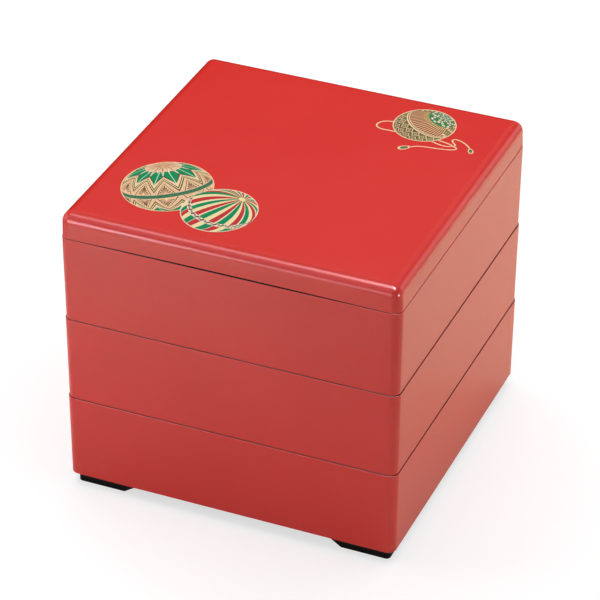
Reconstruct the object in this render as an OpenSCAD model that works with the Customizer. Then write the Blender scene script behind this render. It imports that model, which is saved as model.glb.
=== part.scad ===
// Stacking lacquer jubako: three nesting tiers, a flush lid and four corner feet.
// Millimetres, +Z up, front face towards -Y, origin on the table below the middle of the box.

/* [Tiers] */
// Outer side of a tier, measured at its rim
tier_side = 196; // [120:1:260]
// Height that each tier adds to the stack
tier_height = 51.5; // [30:0.5:90]
// How far each outer wall leans in from rim to base
tier_draft = 0.45; // [0:0.05:1.5]
// Radius of the upright outer corners at the rim
corner_r = 5.5; // [5.1:0.1:12]
// Wall thickness at the rim
wall = 3; // [2:0.1:6]
// Thickness of a tier's floor
floor_t = 3.5; // [2:0.1:8]
// How far each inner wall leans in from rim to floor
inner_draft = 1.2; // [0:0.1:1.6]
// Radius of the upright inner corners at the rim
inner_corner_r = 2.8; // [2.6:0.1:8]
// Fillet between the inner walls and the floor
floor_fillet = 0.8; // [0.2:0.1:0.9]
// Rounding of the outer edges that meet at each seam
seam_edge_r = 0.35; // [0.1:0.05:0.8]
// Bevel on the inner edge of the rim
rim_bevel = 0.5; // [0.1:0.1:1]

/* [Nesting] */
// Depth of the ring that drops into the rim below
ring_depth = 4; // [2:0.5:10]
// Thickness of that ring
ring_t = 2.8; // [1.5:0.1:6]
// Clearance between the ring and the rim, on each side
nest_gap = 0.45; // [0.3:0.05:1]
// Lead-in bevel round the bottom of the ring
ring_bevel = 0.6; // [0.1:0.1:1]
// Radius of the ring's inner corners
ring_inner_r = 2; // [1:0.5:6]

/* [Lid] */
// Height of the lid above the upper rim
lid_height = 15.5; // [10:0.5:30]
// How far the lid's side stands back from the rim below
lid_inset = 0.22; // [0:0.02:0.4]
// How far the lid's side leans in towards its top
lid_draft = 0.18; // [0:0.02:0.3]
// Rounding of the lid's top edge
lid_edge_r = 6.5; // [1:0.1:8]
// Thickness of the lid's top
lid_top_t = 3.2; // [2:0.1:6]
// Fillet inside the lid, where its wall meets its top
lid_inner_fillet = 1.6; // [0.5:0.1:2]
// How far the inner wall of the lid leans in towards its top
lid_inner_draft = 0.3; // [0:0.05:0.4]
// Rise of the lid's lower edge where it bows off the rim
lid_bow = 0.8; // [0.1:0.05:1.2]

/* [Feet] */
// Height of a foot
foot_height = 7; // [3:0.5:20]
// How far a foot stands in from the base of the wall
foot_inset = 3.5; // [1:0.5:10]
// Length of each leg of a foot along the floor of the table
foot_length = 28.5; // [15:0.5:50]
// Width of each leg of a foot
foot_width = 9; // [5:0.5:20]
// How much longer a leg is at its top than at its bottom
foot_slant = 10.5; // [0:0.5:20]
// Radius of a foot's outer corner
foot_corner_r = 2.5; // [1:0.1:6]
// Rounding of a foot's lower outer edge
foot_edge_r = 0.6; // [0.2:0.1:0.9]

/* [Hidden] */
$fn = 96;

// Steps that a rounded edge is drawn in
small_arc_steps = 4;
large_arc_steps = 14;
// Steps over the top of the lid's edge, where its sides meet in mitres
mitre_steps = 3;
// Steps along the bowed lower edge of the lid
bow_steps = 32;
// How far a cutter runs past the face that it opens
past = 2;

// Half sides, measured from the middle of the box
rim_half = tier_side / 2;
base_half = rim_half - tier_draft;
cavity_half = rim_half - wall;
ring_half = cavity_half - nest_gap;
ring_inner_half = ring_half - ring_t;
lid_half = rim_half - lid_inset;
foot_half = base_half - foot_inset;

// Distance of each corner's centre from the middle of the box
outer_centre = rim_half - corner_r;
inner_centre = cavity_half - inner_corner_r;
ring_inner_centre = ring_inner_half - ring_inner_r;
foot_centre = foot_half - foot_corner_r;

// Heights on the stack
lower_z = foot_height;
middle_z = lower_z + tier_height;
upper_z = middle_z + tier_height;
lid_z = upper_z + tier_height;

lacquer_red = [0.80, 0.17, 0.14];
lid_red = [0.84, 0.16, 0.14];
lacquer_black = [0.07, 0.07, 0.08];

// Points of an arc round [x, z] from angle a to angle b
function arc(x, z, r, a, b, steps) =
    [for (i = [0:steps]) let (t = a + (b - a) * i / steps) [x + r * cos(t), z + r * sin(t)]];

// A straight bar along Y. outline lists [half width, height] points up its right side.
module bar(length, outline) {
    flipped = [for (i = [len(outline) - 1:-1:0]) [-outline[i][0], outline[i][1]]];
    rotate([90, 0, 0])
        linear_extrude(height = length, center = true)
            polygon(concat(outline, flipped));
}

// A square block with upright rounded corners. outline lists [half side, height] points up its
// outside, and centre is how far the corners' centres lie from the middle.
module block(centre, outline) {
    low = outline[0][1];
    high = outline[len(outline) - 1][1];
    for (turn = [0, 90])
        rotate([0, 0, turn])
            bar(2 * centre, outline);
    for (turn = [0, 90, 180, 270])
        rotate([0, 0, turn])
            translate([centre, centre, 0])
                rotate_extrude(angle = 90)
                    polygon(concat([[0, low]], [for (p = outline) [p[0] - centre, p[1]]], [[0, high]]));
}

// The outside of a tier, with its seam edges rounded
module tier_outside() {
    block(outer_centre, concat(
        arc(base_half - seam_edge_r, seam_edge_r, seam_edge_r, -90, 0, small_arc_steps),
        arc(rim_half - seam_edge_r, tier_height - seam_edge_r, seam_edge_r, 0, 90, small_arc_steps)));
}

// The space inside a tier
module tier_inside() {
    floor_half = cavity_half - inner_draft;
    block(inner_centre, concat(
        arc(floor_half - floor_fillet, floor_t + floor_fillet, floor_fillet, -90, 0, small_arc_steps),
        [[cavity_half, tier_height - rim_bevel],
         [cavity_half + rim_bevel, tier_height],
         [cavity_half + rim_bevel, tier_height + past]]));
}

// The ring that drops into the rim below. Its top is sunk into the piece that carries it.
module nesting_ring(sunk) {
    difference() {
        block(inner_centre, [[ring_half - ring_bevel, -ring_depth],
            [ring_half, -ring_depth + ring_bevel], [ring_half, sunk]]);
        block(ring_inner_centre, [[ring_inner_half, -ring_depth - past],
            [ring_inner_half, sunk + past]]);
    }
}

module tier(has_ring) {
    difference() {
        tier_outside();
        tier_inside();
    }
    if (has_ring)
        nesting_ring(floor_t / 2);
}

// The outside of the lid, with its top edge rounded. Where that rounding is larger than the upright
// corners' radius, they shrink to a point below the top, and above it the sides meet in mitres.
module lid_outside() {
    arc_half = lid_half - lid_draft - lid_edge_r;
    arc_z = lid_height - lid_edge_r;
    point_angle = arc_half < outer_centre ? acos((outer_centre - arc_half) / lid_edge_r) : 90;
    rounded = concat(
        arc(lid_half - seam_edge_r, seam_edge_r, seam_edge_r, -90, 0, small_arc_steps),
        arc(arc_half, arc_z, lid_edge_r, 0, point_angle, large_arc_steps));
    mitred = arc(arc_half, arc_z, lid_edge_r, point_angle, 90, mitre_steps);
    block(outer_centre, rounded);
    if (point_angle < 90)
        intersection() {
            bar(2 * outer_centre, concat(rounded, mitred));
            rotate([0, 0, 90]) bar(2 * outer_centre, concat(rounded, mitred));
        }
}

// The hollow under the lid, in line with the inside of its ring
module lid_inside() {
    top = lid_height - lid_top_t;
    top_half = ring_inner_half - lid_inner_draft;
    block(ring_inner_centre, concat(
        [[ring_inner_half, -ring_depth - past], [ring_inner_half, 0]],
        arc(top_half - lid_inner_fillet, top - lid_inner_fillet, lid_inner_fillet, 0, 90,
            small_arc_steps)));
}

// What is cut off the lid's lower edge, which bows up a little at the front and the back.
// The curve is highest in the middle and meets the rim at both sides.
module lid_bow_cut() {
    curve = [for (i = [0:bow_steps]) let (u = i / bow_steps)
        [(2 * u - 1) * lid_half, lid_bow * 4 * u * (1 - u)]];
    rotate([90, 0, 0])
        linear_extrude(height = tier_side + 2 * past, center = true)
            polygon(concat(curve, [[lid_half, -past], [-lid_half, -past]]));
}

module lid() {
    color(lid_red)
        translate([0, 0, lid_z])
            difference() {
                union() {
                    difference() {
                        lid_outside();
                        lid_bow_cut();
                    }
                    nesting_ring((lid_height - lid_top_t) / 2);
                }
                lid_inside();
            }
}

module upper_tier() {
    color(lacquer_red) translate([0, 0, upper_z]) tier(true);
}

module middle_tier() {
    color(lacquer_red) translate([0, 0, middle_z]) tier(true);
}

module lower_tier() {
    color(lacquer_red) translate([0, 0, lower_z]) tier(false);
}

// One leg of the foot at the back right corner, along X, with its inner end slanted
module foot_leg() {
    translate([0, foot_half, 0])
        rotate([90, 0, 0])
            linear_extrude(height = foot_width)
                polygon([[foot_half - foot_length, 0], [foot_half, 0], [foot_half, foot_height],
                    [foot_half - foot_length - foot_slant, foot_height]]);
}

// The foot at the back right corner
module foot() {
    color(lacquer_black)
        intersection() {
            union() {
                foot_leg();
                mirror([1, -1, 0]) foot_leg();
            }
            block(foot_centre, concat(
                arc(foot_half - foot_edge_r, foot_edge_r, foot_edge_r, -90, 0, small_arc_steps),
                [[foot_half, foot_height]]));
        }
}

module foot_back_right() {
    foot();
}

module foot_back_left() {
    mirror([1, 0, 0]) foot();
}

module foot_front_right() {
    mirror([0, 1, 0]) foot();
}

module foot_front_left() {
    mirror([1, 0, 0]) mirror([0, 1, 0]) foot();
}

lid();
upper_tier();
middle_tier();
lower_tier();
foot_front_left();
foot_front_right();
foot_back_left();
foot_back_right();
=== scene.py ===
import math

import bmesh
import bpy
from mathutils import Matrix, Vector


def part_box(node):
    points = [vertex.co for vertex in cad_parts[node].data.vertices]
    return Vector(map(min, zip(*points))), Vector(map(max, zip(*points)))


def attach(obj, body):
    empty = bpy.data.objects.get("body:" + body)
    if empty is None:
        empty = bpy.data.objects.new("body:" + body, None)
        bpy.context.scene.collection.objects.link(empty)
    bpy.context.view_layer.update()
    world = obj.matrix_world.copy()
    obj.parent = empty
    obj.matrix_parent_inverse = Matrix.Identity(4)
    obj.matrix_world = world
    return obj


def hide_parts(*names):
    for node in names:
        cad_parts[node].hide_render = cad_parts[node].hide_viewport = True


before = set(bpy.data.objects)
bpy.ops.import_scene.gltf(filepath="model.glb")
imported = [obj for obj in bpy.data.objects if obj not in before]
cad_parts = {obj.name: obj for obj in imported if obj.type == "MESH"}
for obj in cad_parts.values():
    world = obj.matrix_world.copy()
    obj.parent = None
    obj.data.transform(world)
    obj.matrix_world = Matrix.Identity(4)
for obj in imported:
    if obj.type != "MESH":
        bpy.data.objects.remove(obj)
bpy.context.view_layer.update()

MM = 0.001

# Sizes of the box in metres, as the construction states them
RIM_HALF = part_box("lower_tier")[1].x
TIER_DRAFT = 0.45 * MM
CORNER_R = 5.5 * MM
WALL = 3.0 * MM
FLOOR_T = 3.5 * MM
INNER_DRAFT = 1.2 * MM
INNER_CORNER_R = 2.8 * MM
FLOOR_FILLET = 0.8 * MM
SEAM_EDGE_R = 0.35 * MM
RIM_BEVEL = 0.5 * MM
RING_DEPTH = 4.0 * MM
RING_T = 2.8 * MM
NEST_GAP = 0.45 * MM
RING_BEVEL = 0.6 * MM
RING_INNER_R = 2.0 * MM
LID_INSET = 0.22 * MM
LID_DRAFT = 0.18 * MM
LID_EDGE_R = 6.5 * MM
LID_TOP_T = 3.2 * MM
LID_INNER_FILLET = 1.6 * MM
LID_INNER_DRAFT = 0.3 * MM
LID_BOW = 0.8 * MM
FOOT_INSET = 3.5 * MM
FOOT_LENGTH = 28.5 * MM
FOOT_WIDTH = 9.0 * MM
FOOT_SLANT = 10.5 * MM
FOOT_CORNER_R = 2.5 * MM
FOOT_BEVEL = 0.45 * MM

LOWER_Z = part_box("lower_tier")[0].z
LID_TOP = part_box("lid")[1].z
TIER_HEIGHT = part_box("lower_tier")[1].z - LOWER_Z
MIDDLE_Z = LOWER_Z + TIER_HEIGHT
UPPER_Z = MIDDLE_Z + TIER_HEIGHT
LID_Z = UPPER_Z + TIER_HEIGHT
LID_HEIGHT = LID_TOP - LID_Z
CAVITY_HALF = RIM_HALF - WALL
RING_HALF = CAVITY_HALF - NEST_GAP
RING_INNER_HALF = RING_HALF - RING_T
OUTER_CENTRE = RIM_HALF - CORNER_R
INNER_CENTRE = CAVITY_HALF - INNER_CORNER_R
RING_INNER_CENTRE = RING_INNER_HALF - RING_INNER_R
LID_HALF = RIM_HALF - LID_INSET
BASE_HALF = RIM_HALF - TIER_DRAFT
FOOT_HALF = BASE_HALF - FOOT_INSET


def make_camera():
    """The camera, fitted to the outline and the seams of the photograph."""
    azimuth, elevation, roll = (math.radians(a) for a in (22.541, 32.659, 0.388))
    distance, aside, above = 1.7713, 0.0013, 0.0690
    focal_px, frame_px, sensor_mm = 3070.4, 600, 36
    target = Vector((0, 0, LOWER_Z))
    back = Vector((math.sin(azimuth) * math.cos(elevation), -math.cos(azimuth) * math.cos(elevation),
                   math.sin(elevation)))
    right = Vector((math.cos(azimuth), math.sin(azimuth), 0))
    up = back.cross(right)
    place = target + back * distance + right * aside + up * above
    turned_right = right * math.cos(roll) + up * math.sin(roll)
    turned_up = up * math.cos(roll) - right * math.sin(roll)
    data = bpy.data.cameras.new("camera")
    data.sensor_width = sensor_mm
    data.lens = focal_px / frame_px * sensor_mm
    data.clip_start, data.clip_end = 0.05, 50
    camera = bpy.data.objects.new("camera", data)
    axes = Matrix((turned_right, turned_up, back)).transposed()
    camera.matrix_world = Matrix.Translation(place) @ axes.to_4x4()
    bpy.context.scene.collection.objects.link(camera)
    bpy.context.scene.camera = camera


# Materials
class Tree:
    """A node tree, with a short way to add each kind of node that is used here."""

    def __init__(self, tree):
        self.nodes = tree.nodes
        self.links = tree.links
        self.nodes.clear()

    def add(self, kind, inputs, operation=None, data_type=None):
        """Adds a node. Each input takes a value, or a link from another node's output."""
        node = self.nodes.new(kind)
        if operation:
            node.operation = operation
        if data_type:
            node.data_type = data_type
        for name, value in inputs.items():
            if isinstance(value, bpy.types.NodeSocket):
                self.links.new(value, node.inputs[name])
            else:
                node.inputs[name].default_value = value
        return node

    def place(self, kind="Object"):
        return self.add("ShaderNodeTexCoord", {}).outputs[kind]

    def noise(self, scale, detail, roughness=0.5):
        return self.add("ShaderNodeTexNoise", {
            "Vector": self.place(), "Scale": scale, "Detail": detail, "Roughness": roughness,
        }).outputs["Fac"]

    def ramp(self, factor, stops):
        node = self.add("ShaderNodeValToRGB", {"Fac": factor})
        while len(node.color_ramp.elements) < len(stops):
            node.color_ramp.elements.new(0.5)
        for element, (position, colour) in zip(node.color_ramp.elements, stops):
            element.position = position
            element.color = (*colour, 1)
        return node.outputs["Color"]

    def remap(self, value, first, last, low=0.0, high=1.0):
        """Turns values from first to last into values from low to high."""
        return self.add("ShaderNodeMapRange", {
            "Value": value, "From Min": first, "From Max": last, "To Min": low, "To Max": high,
        }).outputs["Result"]

    def mix(self, factor, first, second):
        """A shader that goes from first to second as the factor goes from 0 to 1."""
        return self.add("ShaderNodeMixShader", {"Fac": factor, 1: first, 2: second}).outputs[0]


# Most values of a noise texture lie between these
NOISE_LOW, NOISE_HIGH = 0.3, 0.7


def new_material(name):
    material = bpy.data.materials.new(name)
    material.use_nodes = True
    return material, Tree(material.node_tree)


def finish_material(tree, surface):
    """Sends a principled surface with these inputs to the material's output."""
    shader = tree.add("ShaderNodeBsdfPrincipled", surface)
    tree.add("ShaderNodeOutputMaterial", {"Surface": shader.outputs["BSDF"]})


def lacquer(name, dark, light, gloss, shine=0.5):
    """Sprayed lacquer: even colour with faint clouds, a little orange peel and a soft gloss."""
    cloud_scale, gloss_scale, peel_scale = 14, 60, 420
    material, tree = new_material(name)
    clouds = tree.noise(cloud_scale, 2)
    sheen = tree.noise(gloss_scale, 3)
    peel = tree.add("ShaderNodeBump", {
        "Strength": 0.05, "Distance": 0.4 * MM, "Height": tree.noise(peel_scale, 2)})
    finish_material(tree, {
        "Base Color": tree.ramp(clouds, [(0.35, dark), (0.65, light)]),
        "Roughness": tree.remap(sheen, NOISE_LOW, NOISE_HIGH, gloss - 0.02, gloss + 0.03),
        "Normal": peel.outputs["Normal"],
        "IOR": 1.5,
        "Specular IOR Level": shine})
    return material


def ink(name, dark, light, roughness, metallic=0.0):
    """Print: fine clouds of pigment, and metal dust where the colour is gold."""
    pigment_scale, sheen_scale = 900, 1500
    material, tree = new_material(name)
    pigment = tree.noise(pigment_scale, 4, 0.7)
    sheen = tree.noise(sheen_scale, 2)
    finish_material(tree, {
        "Base Color": tree.ramp(pigment, [(NOISE_LOW, dark), (NOISE_HIGH, light)]),
        "Roughness": tree.remap(sheen, NOISE_LOW, NOISE_HIGH, roughness - 0.06, roughness + 0.08),
        "Metallic": metallic,
        "Specular IOR Level": 0.08})
    return material


def make_materials():
    return {
        "cream": ink("cream_ink", (0.84, 0.60, 0.36), (0.92, 0.68, 0.43), 0.32),
        "straw": ink("straw_ink", (0.84, 0.70, 0.32), (0.92, 0.78, 0.40), 0.32),
        "pale": ink("pale_ink", (0.86, 0.68, 0.52), (0.94, 0.78, 0.62), 0.32),
        "mint": ink("mint_ink", (0.50, 0.78, 0.52), (0.62, 0.86, 0.62), 0.32),
        "peach": ink("peach_ink", (0.82, 0.46, 0.27), (0.90, 0.54, 0.34), 0.32),
        "gold": ink("gold_ink", (0.64, 0.33, 0.13), (0.78, 0.46, 0.21), 0.30, 0.15),
        "green": ink("green_ink", (0.004, 0.235, 0.085), (0.010, 0.285, 0.115), 0.30),
        "belt": ink("belt_ink", (0.035, 0.150, 0.075), (0.070, 0.200, 0.110), 0.34),
        "olive": ink("olive_ink", (0.10, 0.10, 0.028), (0.17, 0.16, 0.050), 0.34),
        "red": ink("red_ink", (0.52, 0.034, 0.034), (0.60, 0.044, 0.044), 0.30),
        "dark": ink("dark_ink", (0.060, 0.026, 0.016), (0.110, 0.046, 0.026), 0.34),
        "brown": ink("brown_ink", (0.12, 0.040, 0.020), (0.21, 0.078, 0.038), 0.34),
        "lid": lacquer("lid_lacquer", (0.735, 0.027, 0.020), (0.755, 0.030, 0.022), 0.17),
        "tier": lacquer("tier_lacquer", (0.715, 0.028, 0.024), (0.735, 0.031, 0.026), 0.17),
        "inside": lacquer("inside_lacquer", (0.006, 0.006, 0.007), (0.010, 0.009, 0.009), 0.13),
        "foot": lacquer("foot_lacquer", (0.002, 0.002, 0.002), (0.005, 0.004, 0.004), 0.30, 0.16),
    }


# Square rings of points, and the lofted shells that they bound
PER_CORNER = 14
PER_SIDE = 24
LEAST_CORNER_R = 0.1 * MM
EDGE_STEPS = 4
FILLET_STEPS = 5
LID_EDGE_STEPS = 22

# The two materials of a shell
OUTSIDE, INSIDE = 0, 1


def ring_points(half, centre):
    """Points round a square with rounded corners. half is half its side."""
    radius = half - centre
    corners = [(centre, centre), (-centre, centre), (-centre, -centre), (centre, -centre)]
    points = []
    for quarter, (cx, cy) in enumerate(corners):
        angles = [math.pi / 2 * (quarter + i / PER_CORNER) for i in range(PER_CORNER + 1)]
        points += [Vector((cx + radius * math.cos(t), cy + radius * math.sin(t))) for t in angles]
        next_x, next_y = corners[(quarter + 1) % 4]
        start, end = points[-1], points[-1] + Vector((next_x - cx, next_y - cy))
        points += [start.lerp(end, i / PER_SIDE) for i in range(1, PER_SIDE)]
    return points


def arc(x, z, radius, first, last, steps):
    """Points of an arc round (x, z), from one angle to another in degrees."""
    angles = [math.radians(first + (last - first) * i / steps) for i in range(steps + 1)]
    return [(x + radius * math.cos(t), z + radius * math.sin(t)) for t in angles]


def loft(name, profile, base_z, materials, raise_by=None):
    """A closed shell through (half side, height, centre, material) rings, capped at both ends."""
    bm = bmesh.new()
    rings = []
    for half, z, centre, _ in profile:
        points = ring_points(half, min(centre, half - LEAST_CORNER_R))
        rings.append([bm.verts.new((p.x, p.y, base_z + z + (raise_by(p, z) if raise_by else 0)))
                      for p in points])
    count = len(rings[0])
    for lower, upper, (_, _, _, material) in zip(rings, rings[1:], profile[1:]):
        for i in range(count):
            j = (i + 1) % count
            bm.faces.new((lower[i], lower[j], upper[j], upper[i])).material_index = material
    bm.faces.new(list(reversed(rings[0]))).material_index = profile[0][3]
    bm.faces.new(rings[-1]).material_index = profile[-1][3]
    return finish_mesh(name, bm, materials)


def finish_mesh(name, bm, materials, sharp=35):
    """Turns a bmesh into a smooth object, whose edges stay sharp above an angle in degrees."""
    bmesh.ops.recalc_face_normals(bm, faces=bm.faces)
    for edge in bm.edges:
        if len(edge.link_faces) == 2 and edge.calc_face_angle(0) > math.radians(sharp):
            edge.smooth = False
    for face in bm.faces:
        face.smooth = True
    mesh = bpy.data.meshes.new(name)
    bm.to_mesh(mesh)
    bm.free()
    for material in materials:
        mesh.materials.append(material)
    piece = bpy.data.objects.new(name, mesh)
    bpy.context.scene.collection.objects.link(piece)
    weigh = piece.modifiers.new("weighted", "WEIGHTED_NORMAL")
    weigh.keep_sharp = True
    return piece


def ring_profile(has_ring):
    """The underside of a tier or the lid, from its middle out to the seat on the rim below."""
    inner_edge = (RING_INNER_HALF, 0, RING_INNER_CENTRE, INSIDE)
    if not has_ring:
        return [inner_edge]
    return [
        inner_edge,
        (RING_INNER_HALF, -RING_DEPTH, RING_INNER_CENTRE, INSIDE),
        (RING_HALF - RING_BEVEL, -RING_DEPTH, INNER_CENTRE, INSIDE),
        (RING_HALF, -RING_DEPTH + RING_BEVEL, INNER_CENTRE, INSIDE),
        (RING_HALF, 0, INNER_CENTRE, INSIDE),
    ]


def seam_edge(points, black_steps):
    """A rounded edge at a seam, whose first steps have the black of the seat."""
    return [(half, z, OUTER_CENTRE, INSIDE if i <= black_steps else OUTSIDE)
            for i, (half, z) in enumerate(points)]


def tier_profile(has_ring, rim_black):
    """A tier from the middle of its underside, round its wall, to the middle of its floor."""
    floor_half = CAVITY_HALF - INNER_DRAFT
    base = arc(BASE_HALF - SEAM_EDGE_R, SEAM_EDGE_R, SEAM_EDGE_R, -90, 0, EDGE_STEPS)
    rim = arc(RIM_HALF - SEAM_EDGE_R, TIER_HEIGHT - SEAM_EDGE_R, SEAM_EDGE_R, 0, 90, EDGE_STEPS)
    floor = arc(floor_half - FLOOR_FILLET, FLOOR_T + FLOOR_FILLET, FLOOR_FILLET, 0, -90, FILLET_STEPS)
    inside = [(CAVITY_HALF + RIM_BEVEL, TIER_HEIGHT), (CAVITY_HALF, TIER_HEIGHT - RIM_BEVEL)] + floor
    return (ring_profile(has_ring) + seam_edge(base, 1) + seam_edge(rim[::-1], rim_black)[::-1]
            + [(half, z, INNER_CENTRE, INSIDE) for half, z in inside])


def edge_centre(half):
    """Where the lid's upright corners are centred, as its rounded top edge leaves them less room."""
    room, least = half - OUTER_CENTRE, 2.4 * MM
    return half - room / 2 - math.hypot(room, least) / 2


def lid_profile():
    """The lid from the middle of its hollow, round its ring and side, to the middle of its top."""
    top = LID_HEIGHT - LID_TOP_T
    top_half = RING_INNER_HALF - LID_INNER_DRAFT
    hollow = arc(top_half - LID_INNER_FILLET, top - LID_INNER_FILLET, LID_INNER_FILLET, 90, 0, FILLET_STEPS)
    base = arc(LID_HALF - SEAM_EDGE_R, SEAM_EDGE_R, SEAM_EDGE_R, -90, 0, EDGE_STEPS)
    edge = arc(LID_HALF - LID_DRAFT - LID_EDGE_R, LID_HEIGHT - LID_EDGE_R, LID_EDGE_R, 0, 90, LID_EDGE_STEPS)
    return ([(half, z, RING_INNER_CENTRE, INSIDE) for half, z in hollow] + ring_profile(True)
            + seam_edge(base, 0) + [(half, z, edge_centre(half), OUTSIDE) for half, z in edge])


def bow(point, z):
    """How far the lid's lower edge rises off the rim, front and back."""
    on_lower_edge = -SEAM_EDGE_R * 0.5 < z < SEAM_EDGE_R * 1.5
    beyond_ring = max(abs(point.x), abs(point.y)) >= RING_HALF - 0.1 * MM
    if not (on_lower_edge and beyond_ring):
        return 0
    u = (point.x / LID_HALF + 1) / 2
    return LID_BOW * 4 * u * (1 - u)


def make_tiers(mats):
    for name, body, z, has_ring in (("upper_tier", "upper", UPPER_Z, True),
                                    ("middle_tier", "middle", MIDDLE_Z, True),
                                    ("lower_tier", "lower", LOWER_Z, False)):
        profile = tier_profile(has_ring, 0 if name == "upper_tier" else 1)
        piece = loft(name + "_shell", profile, z, [mats["tier"], mats["inside"]])
        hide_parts(name)
        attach(piece, body)


def make_lid(mats):
    piece = loft("lid_shell", lid_profile(), LID_Z, [mats["lid"], mats["inside"]], bow)
    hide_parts("lid")
    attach(piece, "lid")


def foot_block(sx, sy):
    """An L-shaped foot with slanted inner ends, rounded at its corner and bevelled below its top."""
    far, near = FOOT_HALF, FOOT_HALF - FOOT_WIDTH
    low_end = FOOT_HALF - FOOT_LENGTH
    bm = bmesh.new()
    levels = []
    for z, end in ((0, low_end), (LOWER_Z, low_end - FOOT_SLANT)):
        outline = [(far, far), (end, far), (end, near), (near, near), (near, end), (far, end)]
        levels.append([bm.verts.new((sx * x, sy * y, z)) for x, y in outline])
    bottom, top = levels
    count = len(bottom)
    for i in range(count):
        j = (i + 1) % count
        bm.faces.new((bottom[i], bottom[j], top[j], top[i]))
    bm.faces.new(bottom)
    bm.faces.new(top)
    bmesh.ops.recalc_face_normals(bm, faces=bm.faces)

    def outermost(vert):
        return abs(abs(vert.co.x) - far) < 1e-6 and abs(abs(vert.co.y) - far) < 1e-6

    corner = [e for e in bm.edges if all(outermost(v) for v in e.verts)]
    bmesh.ops.bevel(bm, geom=corner, offset=FOOT_CORNER_R, segments=8, profile=0.5, affect="EDGES")
    rest = [e for e in bm.edges if e.calc_face_angle(0) > math.radians(25)
            and min(v.co.z for v in e.verts) < LOWER_Z * 0.9]
    bmesh.ops.bevel(bm, geom=rest, offset=FOOT_BEVEL, segments=3, profile=0.5, affect="EDGES")
    return bm


def make_feet(mats):
    for name, sx, sy in (("foot_front_left", -1, -1), ("foot_front_right", 1, -1),
                         ("foot_back_left", -1, 1), ("foot_back_right", 1, 1)):
        piece = finish_mesh(name + "_block", foot_block(sx, sy), [mats["foot"]])
        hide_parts(name)
        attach(piece, "lower")


# Ornament printed on the lid, in thin raised layers
PRINT_RISE = 0.018 * MM
PRINT_SUNK = 0.05 * MM

# Sides and areas smaller than these are left out of the print
LEAST_SIDE = 0.004 * MM
LEAST_AREA = 0.01 * MM * MM

# Longest step along an edge that curves, in degrees
CURVE_STEP = 4


def tile(low, high, west, east):
    """Corners between two latitudes and two longitudes."""
    return [(low, west), (low, east), (high, east), (high, west)]


def taper(low, high, lon, low_half, high_half):
    """Corners of a strip along a meridian, with its half width at either end."""
    return [(low, lon - low_half), (low, lon + low_half), (high, lon + high_half), (high, lon - high_half)]


def kite(top, waist, tip, lon, half):
    """Corners of a kite along a meridian, with its half width at the waist."""
    return [(top, lon), (waist, lon - half), (tip, lon), (waist, lon + half)]


class Ball:
    """A thread ball seen from above: its rim on the lid, and where its pole shows."""

    def __init__(self, centre, radii, pole_at):
        self.centre = Vector(centre) * MM
        self.radii = Vector(radii) * MM
        self.radius = sum(radii) / 2 * MM
        aside = Vector(pole_at) * MM - self.centre
        aside = Vector((aside.x / self.radii.x, aside.y / self.radii.y))
        self.pole = Vector((aside.x, aside.y, math.sqrt(1 - aside.length_squared)))
        self.front = (Vector((0, 0, 1)) - self.pole * self.pole.z).normalized()
        self.side = self.pole.cross(self.front)

    def at(self, lat, lon):
        """The direction from the ball's middle at a latitude and a longitude in degrees."""
        lat, lon = math.radians(lat), math.radians(lon)
        around = self.front * math.cos(lon) + self.side * math.sin(lon)
        return self.pole * math.sin(lat) + around * math.cos(lat)

    def path(self, corners):
        """Directions along straight runs of latitude and longitude between corners."""
        points = []
        for (lat, lon), (next_lat, next_lon) in zip(corners, corners[1:]):
            count = max(1, math.ceil(max(abs(next_lat - lat), abs(next_lon - lon)) / CURVE_STEP))
            points += [self.at(lat + (next_lat - lat) * i / count, lon + (next_lon - lon) * i / count)
                       for i in range(count)]
        return points + [self.at(*corners[-1])]

    def straight(self, corners, steps=6):
        """Directions along the shortest ways over the ball round a loop of corners."""
        turns = [self.at(*corner) for corner in corners]
        return [here.slerp(there, i / steps) for here, there in zip(turns, turns[1:] + turns[:1])
                for i in range(steps)]

    def seen(self, loop):
        """The part of a closed loop of directions that faces the viewer, laid flat on the lid."""
        kept = []
        for here, there in zip(loop, loop[1:] + loop[:1]):
            if here.z >= 0:
                kept.append(here)
            if (here.z >= 0) != (there.z >= 0):
                crossing = here.lerp(there, here.z / (here.z - there.z))
                kept.append(Vector((crossing.x, crossing.y, 0)).normalized())
        flat = []
        for here, there in zip(kept, kept[1:] + kept[:1]):
            flat.append(here)
            if abs(here.z) + abs(there.z) < 1e-9:
                count = math.ceil(math.degrees(here.angle(there)) / CURVE_STEP)
                flat += [here.lerp(there, i / count).normalized() for i in range(1, count)]
        return [self.centre + Vector((d.x * self.radii.x, d.y * self.radii.y)) for d in flat]

    def outline(self, inset, count):
        """Points round the rim, set in by some millimetres."""
        across, along = self.radii.x - inset * MM, self.radii.y - inset * MM
        angles = [math.radians(360 * i / count) for i in range(count)]
        return [self.centre + Vector((math.cos(t) * across, math.sin(t) * along)) for t in angles]


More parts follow.
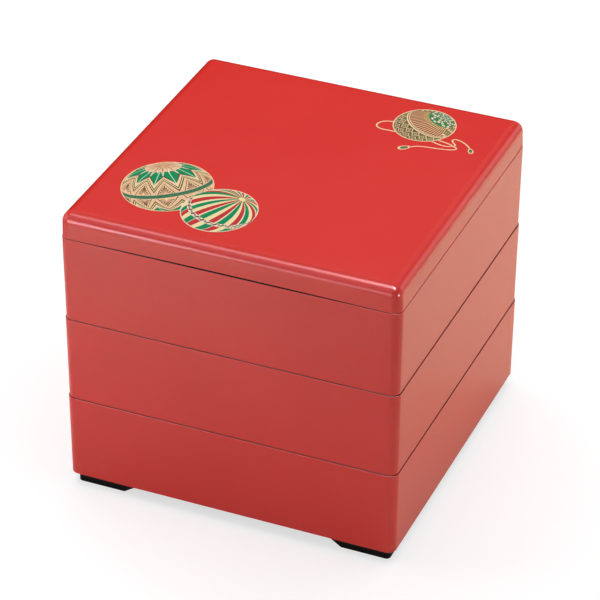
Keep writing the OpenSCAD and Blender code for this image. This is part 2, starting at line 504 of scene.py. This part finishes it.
class Print:
    """Flat shapes pressed onto the lid, gathered into one piece for each colour."""

    def __init__(self, name):
        self.name = name
        self.meshes = {}

    def press(self, colour, outline, level):
        """Adds a thin closed slab. A higher level lies over a lower one."""
        clean = [p for i, p in enumerate(outline) if (p - outline[i - 1]).length > LEAST_SIDE]
        if len(clean) < 3:
            return
        turns = list(zip(clean, clean[1:] + clean[:1]))
        area = sum(a.x * b.y - b.x * a.y for a, b in turns) / 2
        if abs(area) < LEAST_AREA:
            return
        if area < 0:
            clean.reverse()
        if colour not in self.meshes:
            self.meshes[colour] = bmesh.new()
        bm = self.meshes[colour]
        low = [bm.verts.new((p.x, p.y, LID_TOP - PRINT_SUNK)) for p in clean]
        high = [bm.verts.new((p.x, p.y, LID_TOP + PRINT_RISE * level)) for p in clean]
        bm.faces.new(high)
        bm.faces.new(list(reversed(low)))
        for i in range(len(clean)):
            bm.faces.new((low[i - 1], low[i], high[i], high[i - 1]))

    def disc(self, colour, ball, level):
        self.press(colour, ball.outline(0, 120), level)

    def rim(self, colour, ball, width, level):
        """A narrow band round a ball's outline, in millimetres."""
        outer, inner = ball.outline(0, 90), ball.outline(width, 90)
        for i in range(len(outer)):
            j = (i + 1) % len(outer)
            self.press(colour, [outer[i], outer[j], inner[j], inner[i]], level)

    def patch(self, colour, ball, corners, level):
        """A filled shape on a ball, whose edges run evenly through latitude and longitude."""
        self.press(colour, ball.seen(ball.path(corners + corners[:1])[:-1]), level)

    def band(self, colour, ball, low, high, level):
        """A band all round a ball between two latitudes."""
        for lon in range(0, 360, 15):
            self.patch(colour, ball, tile(low, high, lon, lon + 15), level)

    def facet(self, colour, ball, corners, level):
        """A filled shape on a ball with straight edges."""
        self.press(colour, ball.seen(ball.straight(corners)), level)

    def thread(self, colour, ball, corners, width, level):
        """A line along a ball, with its width in millimetres."""
        run = ball.path(corners)
        ahead = [b - a for a, b in zip(run, run[1:])]
        ahead.append(ahead[-1])
        half = width * MM / ball.radius / 2
        sides = [point.cross(way).normalized() * half for point, way in zip(run, ahead)]
        left = [(point + side).normalized() for point, side in zip(run, sides)]
        right = [(point - side).normalized() for point, side in zip(run, sides)]
        self.press(colour, ball.seen(left + right[::-1]), level)

    def cord(self, colour, points, width, level, steps=8):
        """A flat cord on a smooth curve through points on the lid, in millimetres."""
        points = [Vector(p) * MM for p in points]
        ends = [points[0] * 2 - points[1]] + points + [points[-1] * 2 - points[-2]]
        run = []
        for a, b, c, d in zip(ends, ends[1:], ends[2:], ends[3:]):
            for i in range(steps):
                t = i / steps
                run.append(((b * 2) + (c - a) * t + (a * 2 - b * 5 + c * 4 - d) * t * t
                            + (b * 3 - a - c * 3 + d) * t ** 3) / 2)
        run.append(points[-1])
        ahead = [b - a for a, b in zip(run, run[1:])]
        ahead.append(ahead[-1])
        sides = [Vector((-way.y, way.x)).normalized() * width * MM / 2 for way in ahead]
        for i in range(len(run) - 1):
            self.press(colour, [run[i] + sides[i], run[i + 1] + sides[i + 1],
                                run[i + 1] - sides[i + 1], run[i] - sides[i]], level)

    def finish(self, mats):
        for colour, bm in self.meshes.items():
            piece = finish_mesh(self.name + "_" + colour, bm, [mats[colour]])
            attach(piece, "lid")


# Latitudes on the star ball: the end of the petals, the zigzag's peaks and valleys below them, the
# top and bottom of the wedges under the peaks, and the waist between the two halves
PETAL_END, PEAK, VALLEY = 66, 52.3, 34.0
WEDGE_TOP, WEDGE_BOTTOM, WAIST = PEAK - 11.0, PEAK - 18.4, 5

# Zigzag rows: colour, how far they start and end below a peak, and the same below a valley
ZIGZAG_ROWS = [
    ("cream", 0, 3.2, 0, 9.0), ("dark", 3.2, 4.8, 9.0, 12.4), ("straw", 4.8, 7.0, 12.4, 15.2),
    ("dark", 7.2, 9.4, 15.2, 19.4), ("cream", 9.4, 11.0, 19.4, 21.6)]

# Bands across a wedge: colour, and where they start and end as parts of its width
WEDGE_BANDS = [("peach", 0, 0.40), ("cream", 0.40, 0.56), ("dark", 0.56, 0.76), ("straw", 0.76, 1.0)]


def upper_half(corners):
    """Corners on the star ball's upper half, as given."""
    return corners


def lower_half(corners):
    """The same corners mirrored in the waist."""
    return [(2 * WAIST - lat, lon) for lat, lon in corners]


def draw_petal(sheet, ball, turned, peak, next_peak):
    """A green petal between two peaks, with a dark edge and a light thread down its middle."""
    valley = (peak + next_peak) / 2
    thread_start = valley + (5 if valley < 0 else -2)
    sheet.facet("dark", ball, turned([
        (PETAL_END, peak), (PETAL_END, next_peak), (PEAK + 1, next_peak),
        (VALLEY, valley), (PEAK + 1, peak)]), 3)
    sheet.facet("green", ball, turned([
        (PETAL_END, peak + 1.5), (PETAL_END, next_peak - 1.5), (PEAK + 2.5, next_peak - 1.6),
        (VALLEY + 0.8, valley), (PEAK + 2.5, peak + 1.6)]), 4)
    sheet.thread("mint", ball, turned([
        (65, thread_start), (50, (thread_start + valley) / 2 - 0.4), (VALLEY, valley)]), 0.45, 5)


def draw_zigzag(sheet, ball, turned, peak, next_peak):
    """Rows of thread from a peak down to the valley and up again, over the halves of two wedges."""
    valley, half = (peak + next_peak) / 2, (next_peak - peak) / 2
    wedge_valley, meeting = VALLEY - 21.6, VALLEY - 40.0
    foot = (WEDGE_BOTTOM - WAIST) / (WEDGE_BOTTOM - meeting)
    for lon, way in ((peak, 1), (next_peak, -1)):
        for colour, high, low, valley_high, valley_low in ZIGZAG_ROWS:
            sheet.facet(colour, ball, turned([
                (PEAK - high, lon), (VALLEY - valley_high, valley),
                (VALLEY - valley_low, valley), (PEAK - low, lon)]), 5)
        for colour, start, end in WEDGE_BANDS:
            edges = []
            for part in (start, end):
                top = WEDGE_TOP + (WEDGE_BOTTOM - WEDGE_TOP) * part
                bottom = wedge_valley + (WAIST - wedge_valley) * min(part * 1.4, 1)
                side = lon + way * half * (foot * part + 1 - part)
                edges.append([(top, lon), (bottom, side), (WAIST, side)])
            sheet.facet(colour, ball, turned(edges[0] + edges[1][::-1]), 5)


def draw_fan(sheet, ball, turned, middle, half):
    """Strokes that spread from the middle of a triangle's base towards its two sides."""
    top, low, side_strokes = WEDGE_BOTTOM, 11.0, 4
    sheet.facet("peach", ball, turned([
        (top - 1.5, middle), (low - 4.5, middle + half + 3), (low - 4.5, middle - half - 3)]), 4)
    for i in range(-side_strokes, side_strokes + 1):
        lean = i / side_strokes
        rise = (top - 3 - low) * (1 - abs(lean) * 0.86)
        aside = (half - 1) * lean * 0.95
        length = math.hypot(rise, aside)
        wide_lat, wide_lon = 0.95 * aside / length, 1.05 * rise / length
        start = 0.34 if i % 2 else 0.22
        sheet.facet("dark", ball, turned([
            (low + rise * start, middle + aside * start),
            (low + rise + wide_lat, middle + aside - wide_lon),
            (low + rise - wide_lat, middle + aside + wide_lon)]), 6)
    sheet.facet("straw", ball, turned([
        (low - 3.5, middle - 3.4), (low + 1.9, middle), (low - 3.5, middle + 3.4)]), 7)


def draw_star(sheet, ball, wedges):
    """A gold star round the pole, with a spike at each peak and each valley."""
    for peak, next_peak in wedges:
        valley = (peak + next_peak) / 2
        sheet.patch("peach", ball, tile(66.5, 80, peak, next_peak), 5)
        for lon, tip, half in ((peak, 53, 8.5), (valley, 62, 7)):
            sheet.facet("pale", ball, kite(88, 72, tip, lon, half), 6)
            sheet.facet("gold", ball, kite(88, 74, tip + 6, lon, half * 0.7), 7)
            sheet.thread("brown", ball, [(84, lon), (tip + 16, lon)], 0.20, 8)
    for lon in range(0, 360, 60):
        sheet.patch("peach", ball, kite(88, 79, 76, lon, 9), 8)
    sheet.patch("dark", ball, tile(75, 77.5, 167, 173), 9)


def draw_star_ball(sheet):
    """Green petals round a gold star, rows of zigzag thread with fans, and a green belt."""
    place = ((-55.87, -49.85), (25.1, 26.5))
    ball, belted = Ball(*place, (-67.6, -30.5)), Ball(*place, (-69.84, -31.2))
    peaks = [-66, -33.5, -4.5, 32.5, 70, 106, 142, 178, 214, 254, 294]
    wedges = list(zip(peaks, peaks[1:]))
    belt_lat, belt_half, belt_edge = 3.85, 4.0, 0.9
    sheet.disc("gold", ball, 1)
    for turned in (upper_half, lower_half):
        for peak, next_peak in wedges:
            draw_petal(sheet, ball, turned, peak, next_peak)
            draw_zigzag(sheet, ball, turned, peak, next_peak)
            draw_fan(sheet, ball, turned, peak, (next_peak - peak) / 2 * 0.60)
    for colour, half, level in (("cream", belt_half + belt_edge, 7), ("belt", belt_half, 8)):
        sheet.band(colour, belted, belt_lat - half, belt_lat + half, level)
    draw_star(sheet, ball, wedges)
    sheet.rim("cream", ball, 0.55, 9)


def draw_twisted_cord(sheet, ball):
    """A cord of dark and olive strands, with pale threads slanted over it."""
    middle, half, edge, pitch = 11.7, 4.2, 0.6, 12
    low, high = middle - half, middle + half
    below, above = low - edge, high + edge
    for i in range(360 // pitch):
        lon = i * pitch
        sheet.patch("dark" if i % 2 else "olive", ball, tile(low, high, lon, lon + pitch), 13)
        sheet.patch("pale", ball, [
            (below, lon - 3), (below, lon + 4), (above, lon + 11), (above, lon + 4)], 14)
        sheet.patch("pale", ball, [
            (above, lon - 0.5), (above, lon + 2.5), (middle, lon + 7),
            (below, lon + 9), (below, lon + 6.5), (middle - 1, lon + 4.5)], 14)


def draw_striped_ball(sheet):
    """Stripes from pole to pole, and a twisted cord round the middle."""
    place = ((-19.85, -61.95), (20.65, 22.5))
    ball, corded = Ball(*place, (-13.07, -46.77)), Ball(*place, (-15.62, -47.88))
    greens = [-80, -35, -3, 31, 69, 112, 150, 186, 222, 252]
    even_pitch, edge = 36, 1.2
    sheet.disc("straw", ball, 10)
    for green, next_green in zip(greens, greens[1:] + [greens[0] + 360]):
        red = green + (next_green - green) * 0.58
        pitch = (next_green - green) / even_pitch
        for colour, lon, half, start, end in (
                ("green", green, 5.6, 5, 84), ("red", red, 5.6, 5, 84),
                ("green", green - 10.5 * pitch, 5.8, 2, -84), ("red", green + 2.5 * pitch, 5.4, 2, -84)):
            for name, wide, level in (("pale", (half + edge) * pitch, 11), (colour, half * pitch, 12)):
                sheet.patch(name, ball, tile(start, end, lon - wide, lon + wide), level)
    draw_twisted_cord(sheet, corded)
    sheet.patch("straw", ball, [(84, lon) for lon in range(0, 360, 30)], 13)
    sheet.rim("pale", ball, 0.5, 14)


def draw_pleats(sheet, ball):
    for lon in range(-84, 60, 7):
        fold = lon + 3.6
        sheet.patch("brown", ball, taper(20.2, 57, lon, 1.6, 1.2), 4)
        sheet.patch("peach", ball, taper(22, 46, fold, 1.2, 0.8), 4)
        sheet.patch("straw", ball, taper(46, 56, fold, 0.8, 0.6), 5)


def draw_lattice(sheet, ball):
    """Rows of nested diamonds below the double cord, each row shifted by half a diamond."""
    first_lat, row_pitch, pitch, tall, wide = 2, 19, 18, 11, 9
    for row in range(4):
        lat = first_lat - row * row_pitch
        for start in range(0, 360, pitch):
            lon = start + (pitch / 2 if row % 2 else 0)
            for colour, size, level in (("cream", 0.98, 4), ("brown" if row % 2 else "olive", 0.74, 5),
                                        ("peach", 0.36, 6), ("dark", 0.16, 7)):
                corners = kite(lat + tall * size, lat, lat - tall * size, lon, wide * size)
                sheet.facet(colour, ball, corners, level)


def draw_checks(sheet, ball):
    """Checks round the pole and down the side that has no pleats."""
    for lat in range(58, 90, 6):
        for i in range(15):
            lon = i * 24 + (lat % 4) * 6
            colour = ("green", "pale", "mint")[(i + lat // 6) % 3]
            sheet.patch(colour, ball, tile(lat, lat + 4.8, lon, lon + 15), 4)
    for lat in range(22, 58, 6):
        for lon in range(62, 276, 9):
            colour = ("green", "dark", "pale", "olive")[(lat // 6 + lon // 9) % 4]
            sheet.patch(colour, ball, tile(lat, lat + 4.6, lon, lon + 6.5), 4)
    for lon in range(-90, 60, 15):
        sheet.patch("green", ball, tile(56, 58.8, lon, lon + 15), 5)


def draw_pleated_ball(sheet):
    """Pleated thread inside a double cord, with a lattice on one side and checks on the other."""
    ball = Ball((47.95, 67.9), (17.8, 18.3), (56.3, 79.8))
    sheet.disc("gold", ball, 2)
    for colour, low, high, level in (
            ("olive", -89, 13, 3), ("cream", 13.4, 16.6, 5), ("dark", 16.6, 18.0, 5),
            ("cream", 18.0, 19.8, 5), ("olive", 58, 89, 3)):
        sheet.band(colour, ball, low, high, level)
    draw_pleats(sheet, ball)
    draw_lattice(sheet, ball)
    draw_checks(sheet, ball)
    sheet.rim("cream", ball, 0.55, 8)


# A tassel's outline, as parts of its length along it and across it
TASSEL = [(-0.5, 0.0), (-0.30, 0.17), (0.05, 0.26), (0.40, 0.20), (0.5, 0.0), (0.40, -0.20),
          (0.05, -0.26), (-0.30, -0.17)]


def draw_cords(sheet):
    """The pleated ball's cord: a loop on the left and two ends with tassels on the right."""
    width = 0.85
    loop = [(31.5, 65.3), (27.5, 64.6), (24.2, 62.4), (22.9, 59.1), (24.0, 56.4), (27.0, 55.0), (31.5, 55.0),
            (36.5, 55.0)]
    doubled = [[(57.5, 52.9), (61.0, 51.6), (64.4, 50.7), (67.4, 50.7), (70.4, 52.0)],
               [(60.6, 55.3), (64.0, 54.7), (67.4, 53.8), (70.6, 52.6)]]
    right_end = [(70.6, 52.3), (71.5, 53.8), (69.4, 56.0), (68.1, 58.2), (69.4, 59.8), (72.2, 59.4),
                 (75.6, 57.6), (78.4, 55.2), (79.9, 53.6)]
    left_end = [(70.4, 52.2), (72.6, 51.3), (73.3, 49.6), (71.6, 48.3), (68.0, 47.2), (63.0, 46.3),
                (57.3, 45.6), (52.6, 44.6), (49.6, 42.6)]
    for run in [loop, right_end, left_end] + doubled:
        sheet.cord("cream", run, width, 1)
    for knot, tip in (((79.9, 53.7), (82.9, 48.3)), ((49.6, 42.8), (43.2, 38.0))):
        knot, tip = Vector(knot) * MM, Vector(tip) * MM
        along = tip - knot
        across = Vector((-along.y, along.x))
        middle = knot + along * 0.5
        for colour, grown, level in (("cream", 1.0, 2), ("brown", 0.62, 3), ("green", 0.36, 4)):
            sheet.press(colour, [middle + (along * a + across * b) * grown for a, b in TASSEL], level)


def make_ornament(mats):
    for name, draw in (("star_ball", draw_star_ball), ("striped_ball", draw_striped_ball),
                       ("pleated_ball", draw_pleated_ball), ("ball_cord", draw_cords)):
        sheet = Print(name)
        draw(sheet)
        sheet.finish(mats)


# Studio: pale floor, soft lights and a white surround
def mirrored_paper(tree):
    """What reflections and the light see of the floor: paper tinted cool in front and warmer towards the
    back right, a painted warm reflection and bounce for the box's right side.
    """
    fibres = tree.noise(300, 2)
    cool = tree.ramp(fibres, [(NOISE_LOW, (0.90, 0.88, 0.80)), (NOISE_HIGH, (0.92, 0.90, 0.83))])
    warm_reflection_tint = tree.ramp(fibres, [(NOISE_LOW, (0.92, 0.89, 0.66)), (NOISE_HIGH, (0.94, 0.91, 0.69))])
    # Painted reflection: the floor is white to the camera, and this cool to warm tint is only for what the
    # box mirrors and the bounce it takes
    across = tree.add("ShaderNodeVectorMath", {0: tree.place(), 1: (1, 1, 0)}, operation="DOT_PRODUCT")
    painted_reflection_warmth = tree.remap(across.outputs["Value"], -0.12, 0.18)
    tint = tree.add("ShaderNodeMix", {"Factor": painted_reflection_warmth, "A": cool, "B": warm_reflection_tint}, data_type="RGBA")
    paper = tree.add("ShaderNodeBsdfPrincipled", {
        "Base Color": tint.outputs["Result"], "Roughness": 0.9, "Specular IOR Level": 0.0})
    return paper.outputs["BSDF"]


def seen_paper(tree):
    """What the camera sees of the floor: a white that takes the shadow and runs out into plain white."""
    white = tree.add("ShaderNodeBsdfDiffuse", {"Color": (0.42, 0.42, 0.42, 1)})
    glow = tree.add("ShaderNodeEmission", {"Strength": 0.66})
    shaded = tree.add("ShaderNodeAddShader", {0: white.outputs[0], 1: glow.outputs[0]})
    plain = tree.add("ShaderNodeEmission", {"Strength": 1.0})
    distance = tree.add("ShaderNodeVectorMath", {0: tree.place()}, operation="LENGTH")
    run_out = tree.remap(distance.outputs["Value"], 0.40, 1.10)
    return tree.mix(run_out, shaded.outputs[0], plain.outputs[0])


def make_floor():
    size = 6.0
    mesh = bpy.data.meshes.new("floor")
    mesh.from_pydata([(-size, -size, 0), (size, -size, 0), (size, size, 0), (-size, size, 0)], [],
                     [(0, 1, 2, 3)])
    floor = bpy.data.objects.new("floor", mesh)
    bpy.context.scene.collection.objects.link(floor)
    material, tree = new_material("floor_paper")
    rays = tree.add("ShaderNodeLightPath", {}).outputs
    both = tree.mix(rays["Is Camera Ray"], mirrored_paper(tree), seen_paper(tree))
    tree.add("ShaderNodeOutputMaterial", {"Surface": both})
    mesh.materials.append(material)


def make_flag():
    """Black paper behind the box on the left, which only the gloss along the lid's far edges mirrors."""
    ahead, aside, up = Vector((-0.5, 0.866, 0)), Vector((0.866, 0.5, 0)), Vector((0, 0, 1))
    near, far, left, near_right, far_right = 0.16, 0.85, -0.45, 0.14, 0.42
    low, high = 0.001, 0.56
    points = [ahead * away + aside * right + up * z for away, right, z in (
        (near, left, low), (near, near_right, low), (far, far_right, low), (far, left, low),
        (far, far_right, high), (far, left, high))]
    mesh = bpy.data.meshes.new("black_flag")
    mesh.from_pydata([tuple(p) for p in points], [], [(0, 1, 2, 3), (3, 2, 4, 5)])
    flag = bpy.data.objects.new("black_flag", mesh)
    bpy.context.scene.collection.objects.link(flag)
    material, tree = new_material("black_paper")
    finish_material(tree, {
        "Base Color": (0.05, 0.03, 0.03, 1), "Roughness": 0.9, "Specular IOR Level": 0.0})
    mesh.materials.append(material)
    flag.visible_camera = False
    flag.visible_diffuse = False
    flag.visible_shadow = False


def area_light(name, place, target, size, radiance, colour=(1, 1, 1), cone=180, lit="all"):
    """A softbox of the given width and height. radiance is how bright its face looks, where 1 is
    white, cone is how wide its light spreads in degrees, and lit is all, matt or gloss: which
    surfaces it lights."""
    width, height = size
    data = bpy.data.lights.new(name, "AREA")
    data.shape = "RECTANGLE"
    data.size, data.size_y = width, height
    data.energy = radiance * math.pi * width * height
    data.color = colour
    data.spread = math.radians(cone)
    lamp = bpy.data.objects.new(name, data)
    lamp.location = place
    lamp.rotation_euler = (Vector(target) - Vector(place)).to_track_quat("-Z", "Y").to_euler()
    bpy.context.scene.collection.objects.link(lamp)
    lamp.visible_camera = False
    lamp.visible_glossy = lit != "matt"
    lamp.visible_diffuse = lit != "gloss"


def make_lights():
    middle = (0, 0, 0.1)
    area_light("overhead_softbox", (-0.05, 0.35, 1.6), middle, (1.9, 1.5), 2.16, lit="matt")
    area_light("left_softbox", (-1.4, -0.5, 0.7), middle, (0.8, 0.8), 2.1)
    area_light("back_right_softbox", (0.9, 0.9, 0.5), middle, (0.5, 0.5), 2.75, lit="matt")
    area_light("front_left_floor_lamp", (-0.25, -0.45, 0.8), (-0.25, -0.45, 0), (0.3, 0.3), 2.6, cone=45)
    area_light("back_right_floor_lamp", (0.55, 0.35, 0.8), (0.55, 0.35, 0), (0.4, 0.4), 1.2, cone=60)


def make_reflections():
    """Strips and cards that only the gloss shows. All but the corner strip are faintly tinted."""
    cool, violet, rose, pink, blush = (
        (0.97, 0.93, 1.0), (0.97, 0.90, 1.0), (1.0, 0.92, 1.0), (1.0, 0.86, 1.0), (1.0, 0.66, 0.74))
    # Along the lid's front edge, from left to right
    for name, x, width, radiance in (("left", -0.56, 0.42, 4), ("middle", -0.15, 0.40, 13),
                                     ("right", 0.33, 0.56, 28)):
        area_light("strip_" + name, (x, -0.47, 1.50), (x, -0.28, 0), (width, 0.60), radiance, cool,
                   lit="gloss")
    # On the lower part of that edge, and on the near corner
    area_light("low_strip", (-0.72, -1.20, 0.22), (-0.09, -0.1, 0.17), (0.50, 0.56), 9, violet,
               lit="gloss")
    area_light("low_strip_right", (-0.30, -1.34, 0.22), (0.05, -0.1, 0.17), (0.36, 0.50), 2.6, rose,
               lit="gloss")
    area_light("corner_strip", (1.3, -0.5, 0.02), (0.09, -0.09, 0.17), (0.40, 0.40), 28, lit="gloss")
    # Over the front faces, and along the lid's right edge
    area_light("front_card", (-0.60, -1.20, 1.15), (0, -0.1, 0.17), (1.1, 0.95), 0.95, pink, lit="gloss")
    area_light("back_card", (0.95, 1.22, 0.68), (0.09, 0, 0.17), (0.50, 0.55), 0.65, blush, lit="gloss")


def make_world():
    """White to the camera, even ambient light, and a surround for the gloss with a dark horizon."""
    world = bpy.data.worlds.new("studio")
    bpy.context.scene.world = world
    world.use_nodes = True
    tree = Tree(world.node_tree)
    white = (1, 1, 1, 1)
    rays = tree.add("ShaderNodeLightPath", {}).outputs
    height = tree.add("ShaderNodeSeparateXYZ", {"Vector": tree.place("Generated")}).outputs["Z"]
    greys = [(0.0, 1), (0.2, 1), (0.50, 0.05), (0.55, 0.57), (1.0, 0.30)]
    surround = tree.ramp(height, [(position, (grey, grey, grey)) for position, grey in greys])
    ambient = tree.add("ShaderNodeBackground", {"Color": white, "Strength": 0.30})
    mirrored = tree.add("ShaderNodeBackground", {"Color": surround})
    seen = tree.add("ShaderNodeBackground", {"Color": white})
    either = tree.add("ShaderNodeMath", {0: rays["Is Glossy Ray"], 1: rays["Is Transmission Ray"]},
                      operation="MAXIMUM")
    unseen = tree.mix(either.outputs[0], ambient.outputs[0], mirrored.outputs[0])
    both = tree.mix(rays["Is Camera Ray"], unseen, seen.outputs[0])
    tree.add("ShaderNodeOutputWorld", {"Surface": both})


make_camera()
materials = make_materials()
make_tiers(materials)
make_lid(materials)
make_feet(materials)
make_ornament(materials)
make_floor()
make_flag()
make_lights()
make_reflections()
make_world()
bpy.context.scene.view_settings.view_transform = "Standard"
